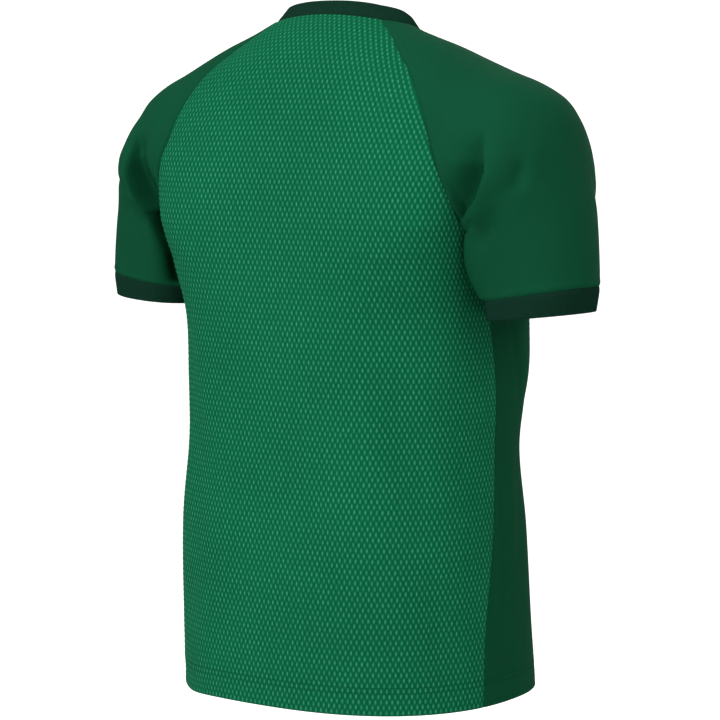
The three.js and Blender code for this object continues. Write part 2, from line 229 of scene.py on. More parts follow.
BODY_CREASES = [
    ((-122, 118, -370), (-154, 98, -510), -5, 22),
    ((-88, 132, -290), (-124, 122, -600), 3.5, 24),
    ((-30, 150, -440), (-72, 150, -580), -3, 24),
    ((-152, 98, -560), (-172, 80, -668), -3.5, 18),
    ((124, 112, -300), (96, 134, -430), 1.6, 16),
    ((20, 146, -330), (64, 144, -450), -1.5, 20),
    ((110, 130, -480), (132, 124, -650), -1.8, 18),
    ((150, 106, -420), (146, 110, -620), 2.5, 40),
    ((140, 113, -668), (140, 113, -720), -3.5, 40),
    ((-166, 96, -214), (-120, 126, -250), -2, 12),
    ((166, 96, -216), (128, 122, -262), -2, 13),
    ((-118, -108, -370), (-148, -92, -490), -4, 20),
    ((-84, -120, -300), (-112, -122, -560), 3, 22),
    ((40, -132, -430), (78, -134, -590), -3, 22),
    ((116, -108, -320), (92, -122, -440), 1.6, 18),
    ((-166, -84, -214), (-122, -112, -258), -2, 12),
    ((162, -86, -214), (120, -114, -250), -2, 12),
    ((-168, -72, -290), (-172, -66, -390), 5, 36),
    ((-181, -2, -420), (-187, 8, -650), -1.8, 7),
    ((-180, -28, -450), (-188, -22, -680), 1.4, 9),
    ((-180, -20, -300), (-180, -44, -400), -1.5, 8),
    ((181, -8, -400), (187, 2, -620), -1.8, 8),
    ((181, -34, -430), (188, -30, -660), 1.4, 9),
]

# Folds at the armholes, each with a clear edge where the sleeve's cloth laps over a hollow next to the
# body: the edge's places, how high the sleeve side rises, how deep the hollow is, how wide each is, and
# how wide the slope between them is. Near a seam they fade out.
SAG_PLACE = (141, 113, -698)
SAG = 6
SAG_WIDTH = 60
LAP_SAMPLES = 121
LAP_BLEND = 8
SEAM_HOLD = 4
LAPS = [
    ([(-221, 106, -130), (-224, 108, -146), (-220, 109, -162), (-211, 104, -178), (-194, 93, -192)], 4, 26, 10, 25, 1.5),
    ([(218, 106, -132), (219, 109, -158), (213, 104, -182), (202, 90, -205), (192, 68, -238)], 6, 36, 9, 23, 3.5),
    ([(-226, -90, -136), (-222, -90, -156), (-208, -84, -180), (-194, -76, -193)], 3, 12, 9, 16, 3),
    ([(218, -92, -138), (216, -92, -158), (206, -84, -180), (193, -76, -192)], 3, 11, 8, 15, 3),
]


# Numbers and curves


def columns(names, rows):
    """A table's rows turned into one named array a column."""
    return dict(zip(names.split(), np.array(rows, float).T))


SLEEVE = columns(SLEEVE_NAMES, SLEEVE_ROWS)
BACK_YOKE = columns(BACK_YOKE_NAMES, BACK_YOKE_ROWS)
FRONT_YOKE = columns(FRONT_YOKE_NAMES, FRONT_YOKE_ROWS)
BODY = columns(BODY_NAMES, BODY_ROWS)


def smooth(column, at):
    """Value of a column at places counted in rows: cubic between rows, with the mean slope at each row."""
    slopes = np.gradient(column)
    row = np.clip(np.floor(at).astype(int), 0, len(column) - 2)
    f = at - row
    start = column[row] * (1 + 2 * f) * (1 - f) ** 2 + slopes[row] * f * (1 - f) ** 2
    end = column[row + 1] * f * f * (3 - 2 * f) - slopes[row + 1] * f * f * (1 - f)
    return start + end


def sections(table, at):
    """All columns of a table at places counted in rows, each as a column array."""
    return {name: smooth(column, at)[:, None] for name, column in table.items()}


def signed_power(value, power):
    return np.sign(value) * np.abs(value) ** power


def crowded(count):
    """count + 1 shares from 0 to 1 that lie closer together near both ends."""
    even = np.linspace(0, 1, count + 1)
    return even - EDGE_CROWDING * np.sin(2 * np.pi * even) / (2 * np.pi)


def lengths_along(points, axis):
    """Length from the first point of each line to each of its points."""
    step = np.linalg.norm(np.diff(points, axis=axis), axis=2)
    reached = np.cumsum(step, axis=axis)
    start = np.zeros_like(np.take(reached, [0], axis=axis))
    return np.concatenate([start, reached], axis=axis)


def at_shares(curves, shares):
    """Each curve's points at the given shares of its length."""
    rows = []
    for curve, reached in zip(curves, lengths_along(curves, 1)):
        wanted = shares * reached[-1]
        rows.append(np.stack([np.interp(wanted, reached, curve[:, k]) for k in range(3)], axis=-1))
    return np.array(rows)


def mirrored(points):
    return points * np.array([-1, 1, 1])


# The jersey's form


def sleeve_points(at, turn):
    """Places on the left sleeve: rings `at` about the arm, turn from 1 at the back seam to -1 at the front.

    Each ring is an ellipse outside the arm's middle and a boxier one inside it, and leans from its seam
    point to its crown point.
    """
    ring = sections(SLEEVE, at)
    wrap = np.radians(np.minimum(ring["wrap"], 180))
    angle = wrap * turn
    power = np.where(np.abs(angle) > np.pi / 2, 2 / ring["square"], 1)
    full_drop = 1 - signed_power(np.cos(wrap), np.where(wrap > np.pi / 2, 2 / ring["square"], 1))
    share = (1 - signed_power(np.cos(angle), power)) / full_drop
    depth = np.where(turn > 0, ring["back"], ring["front"])
    round_share = (1 - turn) / 2
    front_share = EVEN_FALL * round_share + (1 - EVEN_FALL) * round_share**3
    x = ring["crown_x"] - (ring["crown_x"] - ring["seam_x"]) * share
    y = ring["middle_y"] + depth * signed_power(np.sin(angle), power)
    z = ring["crown_z"] - (ring["crown_z"] - ring["seam_z"]) * share - ring["front_drop"] * front_share
    return np.stack([x, y, z], axis=-1)


def half_rows(middle, end, middle_y, power, dip):
    """Half rows of a panel: a boxy oval about middle_y, from the middle line to the seam."""
    reach = np.abs(middle[:, 1:2] - middle_y)
    end_share = np.minimum(np.abs(end[:, 1:2] - middle_y) / reach, 1)
    full_width = end[:, :1] / (1 - end_share**power) ** (1 / power)
    share = np.linspace(0, 1, CURVE_STEPS + 1)
    x = end[:, :1] * share
    y = middle_y + np.sign(middle[:, 1:2]) * reach * (1 - (x / full_width) ** power) ** (1 / power)
    z = middle[:, 2:] + (end[:, 2:] - middle[:, 2:]) * share**dip
    return np.stack([x, y, z], axis=-1)


def armhole_points(shares):
    """The armhole seam over the side panel: down the back of the sleeve's last open rings, up their front."""
    at = SIDE_TOP_ROW + 2 * np.minimum(shares, 1 - shares)
    both = sleeve_points(at, np.array([1.0, -1.0]))
    return np.where(shares[:, None] <= 0.5, both[:, 0], both[:, 1])


def side_points(at, shares):
    """The left side panel, from its back seam to its front one.

    It is the body's boxy oval between the two seams, led into the armhole seam over its first rows.
    """

    def body_section(at):
        row = sections(BODY, at)
        y = row["side_back"] + (row["side_front"] - row["side_back"]) * shares
        reach = np.where(y > row["middle_y"], row["back"], row["front"])
        share = np.minimum(np.abs(y - row["middle_y"]) / reach, 1)
        x = row["half_width"] * (1 - share ** row["power"]) ** (1 / row["power"])
        return np.stack(np.broadcast_arrays(x, y, row["z"]), axis=-1)

    fade = np.maximum(1 - at / SIDE_FADE_ROWS, 0)[:, None, None] ** 2
    return body_section(at) + (armhole_points(shares) - body_section(np.zeros(1))) * fade


YOKE_AT = np.linspace(0, SIDE_TOP_ROW, RAGLAN_STEPS + 1)
SIDE_SHARES = crowded(SIDE_COLUMNS)
UNDERARM_AT = SIDE_TOP_ROW + 2 * SIDE_SHARES[1 : SIDE_COLUMNS // 2 + 1]
TUBE_AT = UNDERARM_ROW + (CUFF_ROW - UNDERARM_ROW) * crowded(TUBE_STEPS)[1:]
BODY_AT = np.arange(0, len(BODY_ROWS) - 1 + BODY_STEP / 2, BODY_STEP)


def panel_points(side):
    """The back (side 1) or the front (side -1), in rows from the neck to the hem, from left to right."""
    yoke = sections(BACK_YOKE if side > 0 else FRONT_YOKE, YOKE_AT)
    yoke_end = sleeve_points(YOKE_AT, np.array([float(side)]))[:, 0]
    height = yoke_end[:, 2:] + yoke["rise"] if side > 0 else yoke["height"]
    yoke_middle = np.hstack([0 * height, side * yoke["depth"], height])
    dip = DIP_POWER if side > 0 else FRONT_DIP_POWER
    upper = half_rows(yoke_middle, yoke_end, yoke["middle_y"], yoke["power"], dip)

    body = sections(BODY, BODY_AT[1:])
    body_end = side_points(BODY_AT[1:], np.array([0.0, 1.0]))[:, 0 if side > 0 else 1]
    depth = body["back"] if side > 0 else body["front"]
    body_middle = np.hstack([0 * depth, body["middle_y"] + side * depth, body["z"]])
    lower = half_rows(body_middle, body_end, body["middle_y"], body["power"], DIP_POWER)

    shares = crowded(PANEL_COLUMNS)[PANEL_COLUMNS // 2 :] * 2 - 1
    half = at_shares(np.concatenate([upper, lower]), shares)
    half[:, -1] = np.concatenate([yoke_end, body_end])
    return np.concatenate([half[:, ::-1], mirrored(half[:, 1:])], axis=1)


def sleeve_grid(at):
    """Rings of the left sleeve, each from the back seam round to the front one."""
    turn = np.linspace(1, -1, CURVE_STEPS + 1)
    grid = at_shares(sleeve_points(at, turn), crowded(SLEEVE_COLUMNS))
    ends = sleeve_points(at, np.array([1.0, -1.0]))
    grid[:, 0], grid[:, -1] = ends[:, 0], ends[:, 1]
    return grid


def fold_heights(place, folds):
    """Height of all folds together: each is a bell across its line, fading towards the line's ends."""
    total = np.zeros(place.shape[:-1])
    for start, end, height, width in folds:
        start, along = np.array(start, float), np.subtract(end, start).astype(float)
        share = np.clip((place - start) @ along / (along @ along), 0, 1)
        off = np.linalg.norm(place - start - share[..., None] * along, axis=-1)
        taper = FOLD_END_SHARE + (1 - FOLD_END_SHARE) * np.sin(np.pi * share)
        total += height * taper * np.exp(-((off / width) ** 2))
    return total


def lap_heights(place):
    """Height of the lapped folds: a bell that rises on the sleeve's side of an edge, and one that sinks on
    the body's side, with a steep smooth step between them. Both fade towards the edge's ends.
    """
    total = np.zeros(place.shape[:-1])
    for corners, rise, depth, outer, inner, slope in LAPS:
        knots = np.array(corners, float)
        share = np.linspace(0, 1, LAP_SAMPLES)
        edge = np.stack([smooth(column, share * (len(knots) - 1)) for column in knots.T], axis=-1)
        away = place[..., None, :] - edge
        square = np.sum(away**2, axis=-1)
        weight = np.exp((np.min(square, axis=-1, keepdims=True) - square) / LAP_BLEND**2)
        weight /= np.sum(weight, axis=-1, keepdims=True)
        outward = np.cross(np.gradient(edge, axis=0), [0, 1, 0])
        outward *= np.sign(outward[:, :1] * knots[0, 0]) / np.linalg.norm(outward, axis=1, keepdims=True)
        side = np.sum(np.sum(away * outward, axis=-1) * weight, axis=-1)
        off = np.sum(square * weight, axis=-1)
        over = (1 + np.tanh(side / slope)) / 2
        bells = rise * over * np.exp(-off / outer**2) - depth * (1 - over) * np.exp(-off / inner**2)
        total += bells * (FOLD_END_SHARE + (1 - FOLD_END_SHARE) * np.sin(np.pi * (weight @ share)))
    return total


def creased(cloth):
    """Height of a piece's folds and creases. Those of a sleeve fade out at its seams."""
    points = cloth.points
    on_left = np.abs(points * [1, 0, 0]) + points * [0, 1, 1]
    if "sleeve" in cloth.name:
        height = fold_heights(on_left, SLEEVE_FOLDS) + fold_heights(points, SLEEVE_CREASES)
        return height * cloth.free_share()
    return fold_heights(on_left, BODY_FOLDS) + fold_heights(points, BODY_CREASES)


def shifted(cloth):
    """How far a piece moves straight back or forward in its lapped folds, and down where the hem sags.

    Only sleeves have lapped folds, and these fade out at the seams. The sag is a bell about its place.
    """
    shift = np.zeros_like(cloth.points)
    if "sleeve" in cloth.name:
        shift[..., 1] = lap_heights(cloth.points) * cloth.free_share() * np.sign(cloth.points[..., 1])
    shift[..., 2] = -SAG * np.exp(-np.sum((cloth.points - SAG_PLACE) ** 2, axis=-1) / SAG_WIDTH**2)
    return shift


# Pieces of cloth


class Cloth:
    """A cut piece as a grid of places, with flat measures: u across from its middle, v down from its top.

    Its first and last columns are one seam from row join_from on. edges names the sides that are sewn.
    """

    def __init__(self, name, grid, outward, edges, join_from=None):
        self.name = name
        self.points = grid
        self.outward = outward
        self.edges = edges
        rows, count = grid.shape[:2]
        across = lengths_along(grid, 1)
        self.width = across[:, -1]
        self.shares = (across / across[:, -1:])[rows // 2]
        self.u = across - across[:, -1:] / 2
        self.v = lengths_along(grid, 0)[:, count // 2]
        ids = np.arange(rows * count).reshape(rows, count)
        self.quads = np.stack([ids[:-1, :-1], ids[1:, :-1], ids[1:, 1:], ids[:-1, 1:]], axis=-1).reshape(-1, 4)
        if not outward:
            self.quads = self.quads[:, ::-1]
        self.vertex_of = ids.copy()
        if join_from is not None:
            self.vertex_of[join_from:, -1] = ids[join_from:, 0]

    def seam_distance(self):
        """How far each place lies from the nearest sewn edge."""
        across = np.minimum(self.u + self.width[:, None] / 2, self.width[:, None] / 2 - self.u)
        near = across if "sides" in self.edges else np.full_like(self.u, np.inf)
        if "top" in self.edges:
            near = np.minimum(near, self.v[:, None])
        if "bottom" in self.edges:
            near = np.minimum(near, self.v[-1] - self.v[:, None])
        return near

    def free_share(self):
        """How freely each place moves in a fold: not at all at a seam, and fully a little way off."""
        return 1 - np.exp(-((self.seam_distance() / SEAM_HOLD) ** 2))

    def laid(self, u, v, height):
        """Places at u, v on the cloth, lifted off it by height: straight lines between the grid's places."""
        row = np.interp(v, self.v, np.arange(len(self.v)))
        r = np.minimum(row.astype(int), len(self.v) - 2)
        f = (row - r)[..., None]
        width = self.width[r] * (1 - f[..., 0]) + self.width[r + 1] * f[..., 0]
        column = np.interp(0.5 + u / width, self.shares, np.arange(len(self.shares)))
        c = np.minimum(column.astype(int), len(self.shares) - 2)
        g = (column - c)[..., None]

        def between(values):
            above = values[r, c] * (1 - g) + values[r, c + 1] * g
            below = values[r + 1, c] * (1 - g) + values[r + 1, c + 1] * g
            return above * (1 - f) + below * f

        return between(self.points) + between(self.normals) * height[..., None]

    def half_width(self, v):
        return np.interp(v, self.v, self.width) / 2


def share_normals(cloths):
    """Gives all places their outward normals, the same one to every piece that meets at a place."""
    places = np.concatenate([cloth.points.reshape(-1, 3) for cloth in cloths])
    _, spot = np.unique(np.round(places, 3), axis=0, return_inverse=True)
    spot = spot.reshape(-1)
    total = np.zeros((spot.max() + 1, 3))
    first = 0
    for cloth in cloths:
        corners = cloth.points.reshape(-1, 3)[cloth.quads]
        normal = np.cross(corners[:, 2] - corners[:, 0], corners[:, 3] - corners[:, 1])
        for k in range(4):
            np.add.at(total, spot[first + cloth.quads[:, k]], normal)
        first += cloth.u.size
    total /= np.linalg.norm(total, axis=1, keepdims=True)
    first = 0
    for cloth in cloths:
        cloth.normals = total[spot[first : first + cloth.u.size]].reshape(cloth.points.shape)
        first += cloth.u.size


def cut_pieces():
    """All six pieces of smooth cloth, with their folds and with their sewn edges drawn in."""
    ring_at = np.concatenate([YOKE_AT, UNDERARM_AT, TUBE_AT])
    join = len(YOKE_AT) + len(UNDERARM_AT) - 1
    sleeve = sleeve_grid(ring_at)
    side = side_points(BODY_AT, SIDE_SHARES)
    cloths = [
        Cloth("back", panel_points(1), True, {"sides", "top"}),
        Cloth("front", panel_points(-1), False, {"sides", "top"}),
        Cloth("side_left", side, False, {"sides", "top"}),
        Cloth("side_right", mirrored(side), True, {"sides", "top"}),
        Cloth("sleeve_left", sleeve, False, {"sides", "top", "bottom"}, join),
        Cloth("sleeve_right", mirrored(sleeve), True, {"sides", "top", "bottom"}, join),
    ]
    share_normals(cloths)
    for cloth in cloths:
        cloth.points = cloth.points + cloth.normals * creased(cloth)[..., None] + shifted(cloth)
    share_normals(cloths)
    for cloth in cloths:
        distance = cloth.seam_distance()
        height = -SEAM_DIP * np.exp(-((distance / SEAM_ROLL) ** 2))
        if "sleeve" in cloth.name:
            allowance = ALLOWANCE_HEIGHT * (1 - np.tanh((distance - ALLOWANCE_WIDTH) / ALLOWANCE_STEP)) / 2
            height += allowance * (1 - np.exp(-((distance / SEAM_ROLL) ** 2)))
        cloth.points = cloth.points + cloth.normals * height[..., None]
    share_normals(cloths)
    return {cloth.name: cloth for cloth in cloths}


# Meshes


def mesh_object(name, points, faces, uv=None):
    """A mesh of places in millimetres and faces of one size, with a flat measure in metres for each corner."""
    faces = np.asarray(faces)
    mesh = bpy.data.meshes.new(name)
    mesh.vertices.add(len(points))
    mesh.vertices.foreach_set("co", (points * MM).ravel())
    mesh.loops.add(faces.size)
    mesh.loops.foreach_set("vertex_index", faces.ravel())
    mesh.polygons.add(len(faces))
    mesh.polygons.foreach_set("loop_start", np.arange(len(faces)) * faces.shape[1])
    if uv is not None:
        layer = mesh.uv_layers.new(name="cloth")
        layer.data.foreach_set("uv", uv.ravel())
    mesh.update(calc_edges=True)
    mesh.validate()
    mesh.shade_smooth()
    thing = bpy.data.objects.new(name, mesh)
    bpy.context.scene.collection.objects.link(thing)
    return thing


def flat_measure(u, v):
    """u and v in metres, with u counted from the left edge of a metre-wide strip."""
    return np.stack([u * MM + 0.5, 0.98 - v * MM], axis=-1)


def cloth_object(cloth, material):
    """The piece's grid as a mesh, with the cloth's thickness to its inside."""
    faces = cloth.vertex_of.ravel()[cloth.quads]
    used, faces = np.unique(faces, return_inverse=True)
    v = np.broadcast_to(cloth.v[:, None], cloth.u.shape)
    uv = flat_measure(cloth.u, v).reshape(-1, 2)[cloth.quads.ravel()]
    thing = mesh_object(cloth.name, cloth.points.reshape(-1, 3)[used], faces.reshape(-1, 4), uv)
    wall = thing.modifiers.new("cloth", "SOLIDIFY")
    wall.thickness = PANEL_CLOTH * MM
    wall.offset = -1
    return finish_piece(thing, material)


def finish_piece(thing, material):
    thing.data.materials.append(material)
    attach(thing, "root")
    return thing


def dashes(cloth, material):
    """Small raised ovals in staggered rows, each a low dome that follows the cloth."""
    row, column = np.meshgrid(np.arange(int(cloth.v[-1] / DASH_ROW)), np.arange(-60, 61), indexing="ij")
    u = (column + 0.5 * (row % 2)) * DASH_COLUMN
    v = (row + 0.5) * DASH_ROW
    inside = np.abs(u) < cloth.half_width(v) - DASH_WIDTH
    hem_row = cloth.v[-1] - HEM_STITCH_RISE
    inside &= np.abs(v - hem_row) > HEM_CLEAR
    u, v = u[inside][:, None], v[inside][:, None]
    angle = np.arange(DASH_SIDES) / DASH_SIDES * 2 * np.pi
    near_neck = np.maximum(1 - v / FAN_REACH, 0)
    across = np.append(np.cos(angle) * DASH_WIDTH / 2, 0)
    along = np.append(np.sin(angle) * DASH_LENGTH / 2, 0) * (1 - (1 - NECK_SHARE) * near_neck)
    height = np.append(np.full(DASH_SIDES, -0.05), DASH_HEIGHT)
    fan = FAN_SLOPE * MM * u * near_neck
    u, v, height = np.broadcast_arrays(u + across + fan * along, v + along, height)
    v = np.clip(v, 0, cloth.v[-1])
    rim = np.arange(DASH_SIDES)
    dome = np.stack([rim, np.roll(rim, -1), np.full(DASH_SIDES, DASH_SIDES)], axis=-1)
    if cloth.outward:
        dome = dome[:, ::-1]
    faces = (dome + (np.arange(len(u)) * (DASH_SIDES + 1))[:, None, None]).reshape(-1, 3)
    points = cloth.laid(u, v, height).reshape(-1, 3)
    uv = flat_measure(u, v).reshape(-1, 2)[faces.ravel()]
    return finish_piece(mesh_object(cloth.name + "_dashes", points, faces, uv), material)


def stitches(name, cloth, rows, material):
    """Runs of short threads: each is a capsule's upper half, longer than wide, laid along a row at v."""
    ring = np.radians([0, 45, 90, 135, 180])
    along = np.array([-1, -0.75, 0, 0.75, 1])
    thick = np.sqrt(1 - along**4)
    points, faces, uvs, first = [], [], [], 0
    for v_row in rows:
        half = cloth.half_width(v_row) - STITCH_LENGTH
        centre = np.arange(-half, half, STITCH_STEP)[:, None, None]
        u = centre + along[:, None] * STITCH_LENGTH / 2
        v = v_row + thick[:, None] * np.cos(ring) * THREAD / 2
        height = thick[:, None] * np.sin(ring) * THREAD / 2
        u, v, height = np.broadcast_arrays(u, v, height)
        ids = np.arange(25).reshape(5, 5)
        patch = np.stack([ids[:-1, :-1], ids[:-1, 1:], ids[1:, 1:], ids[1:, :-1]], axis=-1).reshape(-1, 4)
        if not cloth.outward:
            patch = patch[:, ::-1]
        faces.append((patch + first + (np.arange(len(u)) * 25)[:, None, None]).reshape(-1, 4))
        points.append(cloth.laid(u, v, height).reshape(-1, 3))
        uvs.append(flat_measure(u, v).reshape(-1, 2))
        first += u.size
    faces = np.concatenate(faces)
    uv = np.concatenate(uvs)[faces.ravel()]
    return finish_piece(mesh_object(name, np.concatenate(points), faces, uv), material)


def rib_band(name, outer, outward, material):
    """A ribbed band round an opening, folded double: outer is its outer side, in rings from seam to fold.

    Its section runs down the outer side, round the fold and up the inner side, and closes at the seam.
    Ribs are an even wave round the ring.
    """
    around = np.roll(outer, -1, axis=1) - np.roll(outer, 1, axis=1)
    normal = np.cross(np.gradient(outer, axis=0), around) * (1 if outward else -1)
    normal /= np.linalg.norm(normal, axis=2, keepdims=True)
    width = np.mean(lengths_along(outer, 0)[-1])
    fold = RIB_WALL / 2
    turn = np.linspace(0, np.pi, 7)
    flat = np.linspace(0, 1, BAND_ROWS)
    down = np.concatenate([flat * (width - fold), width - fold + fold * np.sin(turn[1:-1])])
    down = np.concatenate([down, flat[::-1] * (width - fold)])
    deep = np.concatenate([np.zeros(BAND_ROWS), fold - fold * np.cos(turn[1:-1]), np.full(BAND_ROWS, RIB_WALL)])
    deep[:BAND_ROWS] += SEAM_DIP * np.exp(-((down[:BAND_ROWS] / SEAM_ROLL) ** 2))
    row = down / width * (len(outer) - 1)
    r = np.minimum(row.astype(int), len(outer) - 2)
    f = (row - r)[:, None, None]
    count = outer.shape[1]
    wave = RIB_HEIGHT * np.cos(np.arange(count) / RIB_SAMPLES * 2 * np.pi)
    rise = np.where(deep[:, None] > fold, -wave, wave) - deep[:, None]
    points = outer[r] * (1 - f) + outer[r + 1] * f + (normal[r] * (1 - f) + normal[r + 1] * f) * rise[..., None]
    ids = np.arange(points.shape[0] * count).reshape(-1, count)
    below, right = np.roll(ids, -1, axis=0), np.roll(ids, -1, axis=1)
    quads = np.stack([ids, below, np.roll(below, -1, axis=1), right], axis=-1).reshape(-1, 4)
    if not outward:
        quads = quads[:, ::-1]
    profile = np.append(np.cumsum(np.hypot(np.diff(down, prepend=0), np.diff(deep, prepend=0))), 0)
    profile[-1] = profile[-2] + RIB_WALL
    u = np.arange(count + 1) * RIB_PITCH / RIB_SAMPLES
    u = u - u[-1] / 2
    uv_grid = flat_measure(*np.meshgrid(u, profile, indexing="xy"))
    corner = np.stack([uv_grid[:-1, :-1], uv_grid[1:, :-1], uv_grid[1:, 1:], uv_grid[:-1, 1:]], axis=2)
    if not outward:
        corner = corner[:, :, ::-1]
    return finish_piece(mesh_object(name, points.reshape(-1, 3), quads, corner.reshape(-1, 2)), material)


def ring_samples(rings):
    """Closed rings, each resampled evenly so that a whole number of ribs fits round it."""
    closed = np.concatenate([rings, rings[:, :1]], axis=1)
    length = lengths_along(closed, 1)[0, -1]
    count = int(round(length / RIB_PITCH)) * RIB_SAMPLES
    return at_shares(closed, np.linspace(0, 1, count + 1))[:, :-1]


def collar_rings(pieces):
    """The neck edge of the four pieces, carried up and inward by the collar's width, square to the edge."""
    parts = [pieces["back"].points[0][::-1], pieces["sleeve_left"].points[0][1:]]
    parts += [pieces["front"].points[0][1:], pieces["sleeve_right"].points[0][::-1][1:-1]]
    edge = ring_samples(np.concatenate(parts)[None])[0]
    reach = int(COLLAR_SMOOTHING / RIB_PITCH * RIB_SAMPLES)
    along = np.roll(edge, -reach, axis=0) - np.roll(edge, reach, axis=0)
    along /= np.linalg.norm(along, axis=1, keepdims=True)
    inward = np.array([0, NECK_MIDDLE_Y, 0]) - edge
    inward[:, 2] = 0
    inward /= np.linalg.norm(inward, axis=1, keepdims=True)
    lean = COLLAR_LEAN + (COLLAR_SIDE_LEAN - COLLAR_LEAN) * inward[:, :1] ** 2
    up = lean * inward + np.array([0, 0, 1])
    up -= along * np.sum(up * along, axis=1, keepdims=True)
    up /= np.linalg.norm(up, axis=1, keepdims=True)
    widths = np.linspace(0, COLLAR_WIDTH, BAND_ROWS)
    return edge + up * widths[:, None, None]


def cuff_rings():
    """The left cuff's outer side, in rings from the cuff seam to the fold."""
    at = np.linspace(CUFF_ROW, CUFF_END_ROW, BAND_ROWS)
    rings = sleeve_points(at, np.linspace(1, -1, CURVE_STEPS + 1))[:, :-1]
    return ring_samples(rings)


# Materials


def node(tree, kind, inputs=None, **settings):
    """A shader node with its settings, its inputs given as values or as the sockets that feed them."""
    made = tree.nodes.new(kind)
    for name, value in settings.items():
        setattr(made, name, value)
    for key, value in (inputs or {}).items():
        socket = made.inputs[key]
        if isinstance(value, bpy.types.NodeSocket):
            tree.links.new(value, socket)
        else:
            socket.default_value = value
    return made


def math_node(tree, operation, first, second=0.0, third=None):
    inputs = {0: first, 1: second}
    if third is not None:
        inputs[2] = third
    return node(tree, "ShaderNodeMath", inputs, operation=operation).outputs[0]


def new_group(name, inputs, outputs):
    """An empty node group with named number or colour sockets."""
    tree = bpy.data.node_groups.new(name, "ShaderNodeTree")
    for label, kind in inputs:
        tree.interface.new_socket(label, in_out="INPUT", socket_type=kind)
    for label, kind in outputs:
        tree.interface.new_socket(label, in_out="OUTPUT", socket_type=kind)
    start = tree.nodes.new("NodeGroupInput")
    end = tree.nodes.new("NodeGroupOutput")
    return tree, start, end


FLOAT, COLOUR, VECTOR = "NodeSocketFloat", "NodeSocketColor", "NodeSocketVector"


def dash_group():
    """Staggered ovals on the flat measure: mask of the dash, shade of the ground, and a number per dash."""
    inputs = [("Flat", VECTOR), ("Column", FLOAT), ("Row", FLOAT), ("Width", FLOAT), ("Length", FLOAT)]
    outputs = [("Dash", FLOAT), ("Between", FLOAT), ("Chance", FLOAT)]
    tree, start, end = new_group("knit_dashes", inputs, outputs)
    flat = node(tree, "ShaderNodeSeparateXYZ", {0: start.outputs["Flat"]})
    down = math_node(tree, "DIVIDE", math_node(tree, "SUBTRACT", 0.98, flat.outputs[1]), start.outputs["Row"])
    row = math_node(tree, "FLOOR", down)
    stagger = math_node(tree, "MULTIPLY", math_node(tree, "FLOORED_MODULO", row, 2.0), 0.5)
    across = math_node(tree, "DIVIDE", math_node(tree, "SUBTRACT", flat.outputs[0], 0.5), start.outputs["Column"])
    across = math_node(tree, "ADD", math_node(tree, "SUBTRACT", across, stagger), 0.5)
    column = math_node(tree, "FLOOR", across)
    off_u = math_node(tree, "MULTIPLY", math_node(tree, "SUBTRACT", math_node(tree, "SUBTRACT", across, column), 0.5),
                      start.outputs["Column"])
    off_v = math_node(tree, "MULTIPLY", math_node(tree, "SUBTRACT", math_node(tree, "SUBTRACT", down, row), 0.5),
                      start.outputs["Row"])
    from_neck = math_node(tree, "MULTIPLY", down, start.outputs["Row"])
    near_neck = node(tree, "ShaderNodeMapRange", {"Value": from_neck, "From Min": FAN_REACH * MM, "From Max": 0.0})
    from_middle = math_node(tree, "SUBTRACT", flat.outputs[0], 0.5)
    fan = math_node(tree, "MULTIPLY", math_node(tree, "MULTIPLY", from_middle, FAN_SLOPE), near_neck.outputs[0])
    upright_u = math_node(tree, "SUBTRACT", off_u, math_node(tree, "MULTIPLY", fan, off_v))
    u = math_node(tree, "DIVIDE", upright_u, start.outputs["Width"])
    length = math_node(tree, "MULTIPLY_ADD", near_neck.outputs[0], NECK_SHARE - 1, 1.0)
    v = math_node(tree, "DIVIDE", off_v, math_node(tree, "MULTIPLY", length, start.outputs["Length"]))
    far = math_node(tree, "SQRT", math_node(tree, "ADD", math_node(tree, "MULTIPLY", u, u),
                                            math_node(tree, "MULTIPLY", v, v)))
    dash = node(tree, "ShaderNodeMapRange", {"Value": far, "From Min": 0.62, "From Max": 0.16},
                interpolation_type="SMOOTHSTEP").outputs[0]
    between = node(tree, "ShaderNodeMapRange", {"Value": math_node(tree, "ABSOLUTE", u), "From Min": 0.45,
                                                "From Max": 0.9}, interpolation_type="SMOOTHSTEP").outputs[0]
    cell = node(tree, "ShaderNodeCombineXYZ", {0: column, 1: row})
    chance = node(tree, "ShaderNodeTexWhiteNoise", {0: cell.outputs[0]}, noise_dimensions="2D").outputs[0]
    for label, value in (("Dash", dash), ("Between", between), ("Chance", chance)):
        tree.links.new(value, end.inputs[label])
    return tree


def loop_group():
    """Fine knit loops on the flat measure: a height that rises and falls across wales and courses."""
    tree, start, end = new_group("knit_loops", [("Flat", VECTOR), ("Wale", FLOAT)], [("Height", FLOAT)])
    flat = node(tree, "ShaderNodeSeparateXYZ", {0: start.outputs["Flat"]})
    turn = 2 * math.pi
    wale = math_node(tree, "MULTIPLY", math_node(tree, "DIVIDE", flat.outputs[0], start.outputs["Wale"]), turn)
    course = math_node(tree, "MULTIPLY", math_node(tree, "DIVIDE", flat.outputs[1], start.outputs["Wale"]), turn)
    lean = math_node(tree, "SINE", math_node(tree, "MULTIPLY", course, 1.3))
    bent = math_node(tree, "ADD", wale, math_node(tree, "MULTIPLY", lean, 0.9))
    height = math_node(tree, "MULTIPLY_ADD", math_node(tree, "SINE", bent), 0.5, 0.5)
    tree.links.new(height, end.inputs["Height"])
    return tree


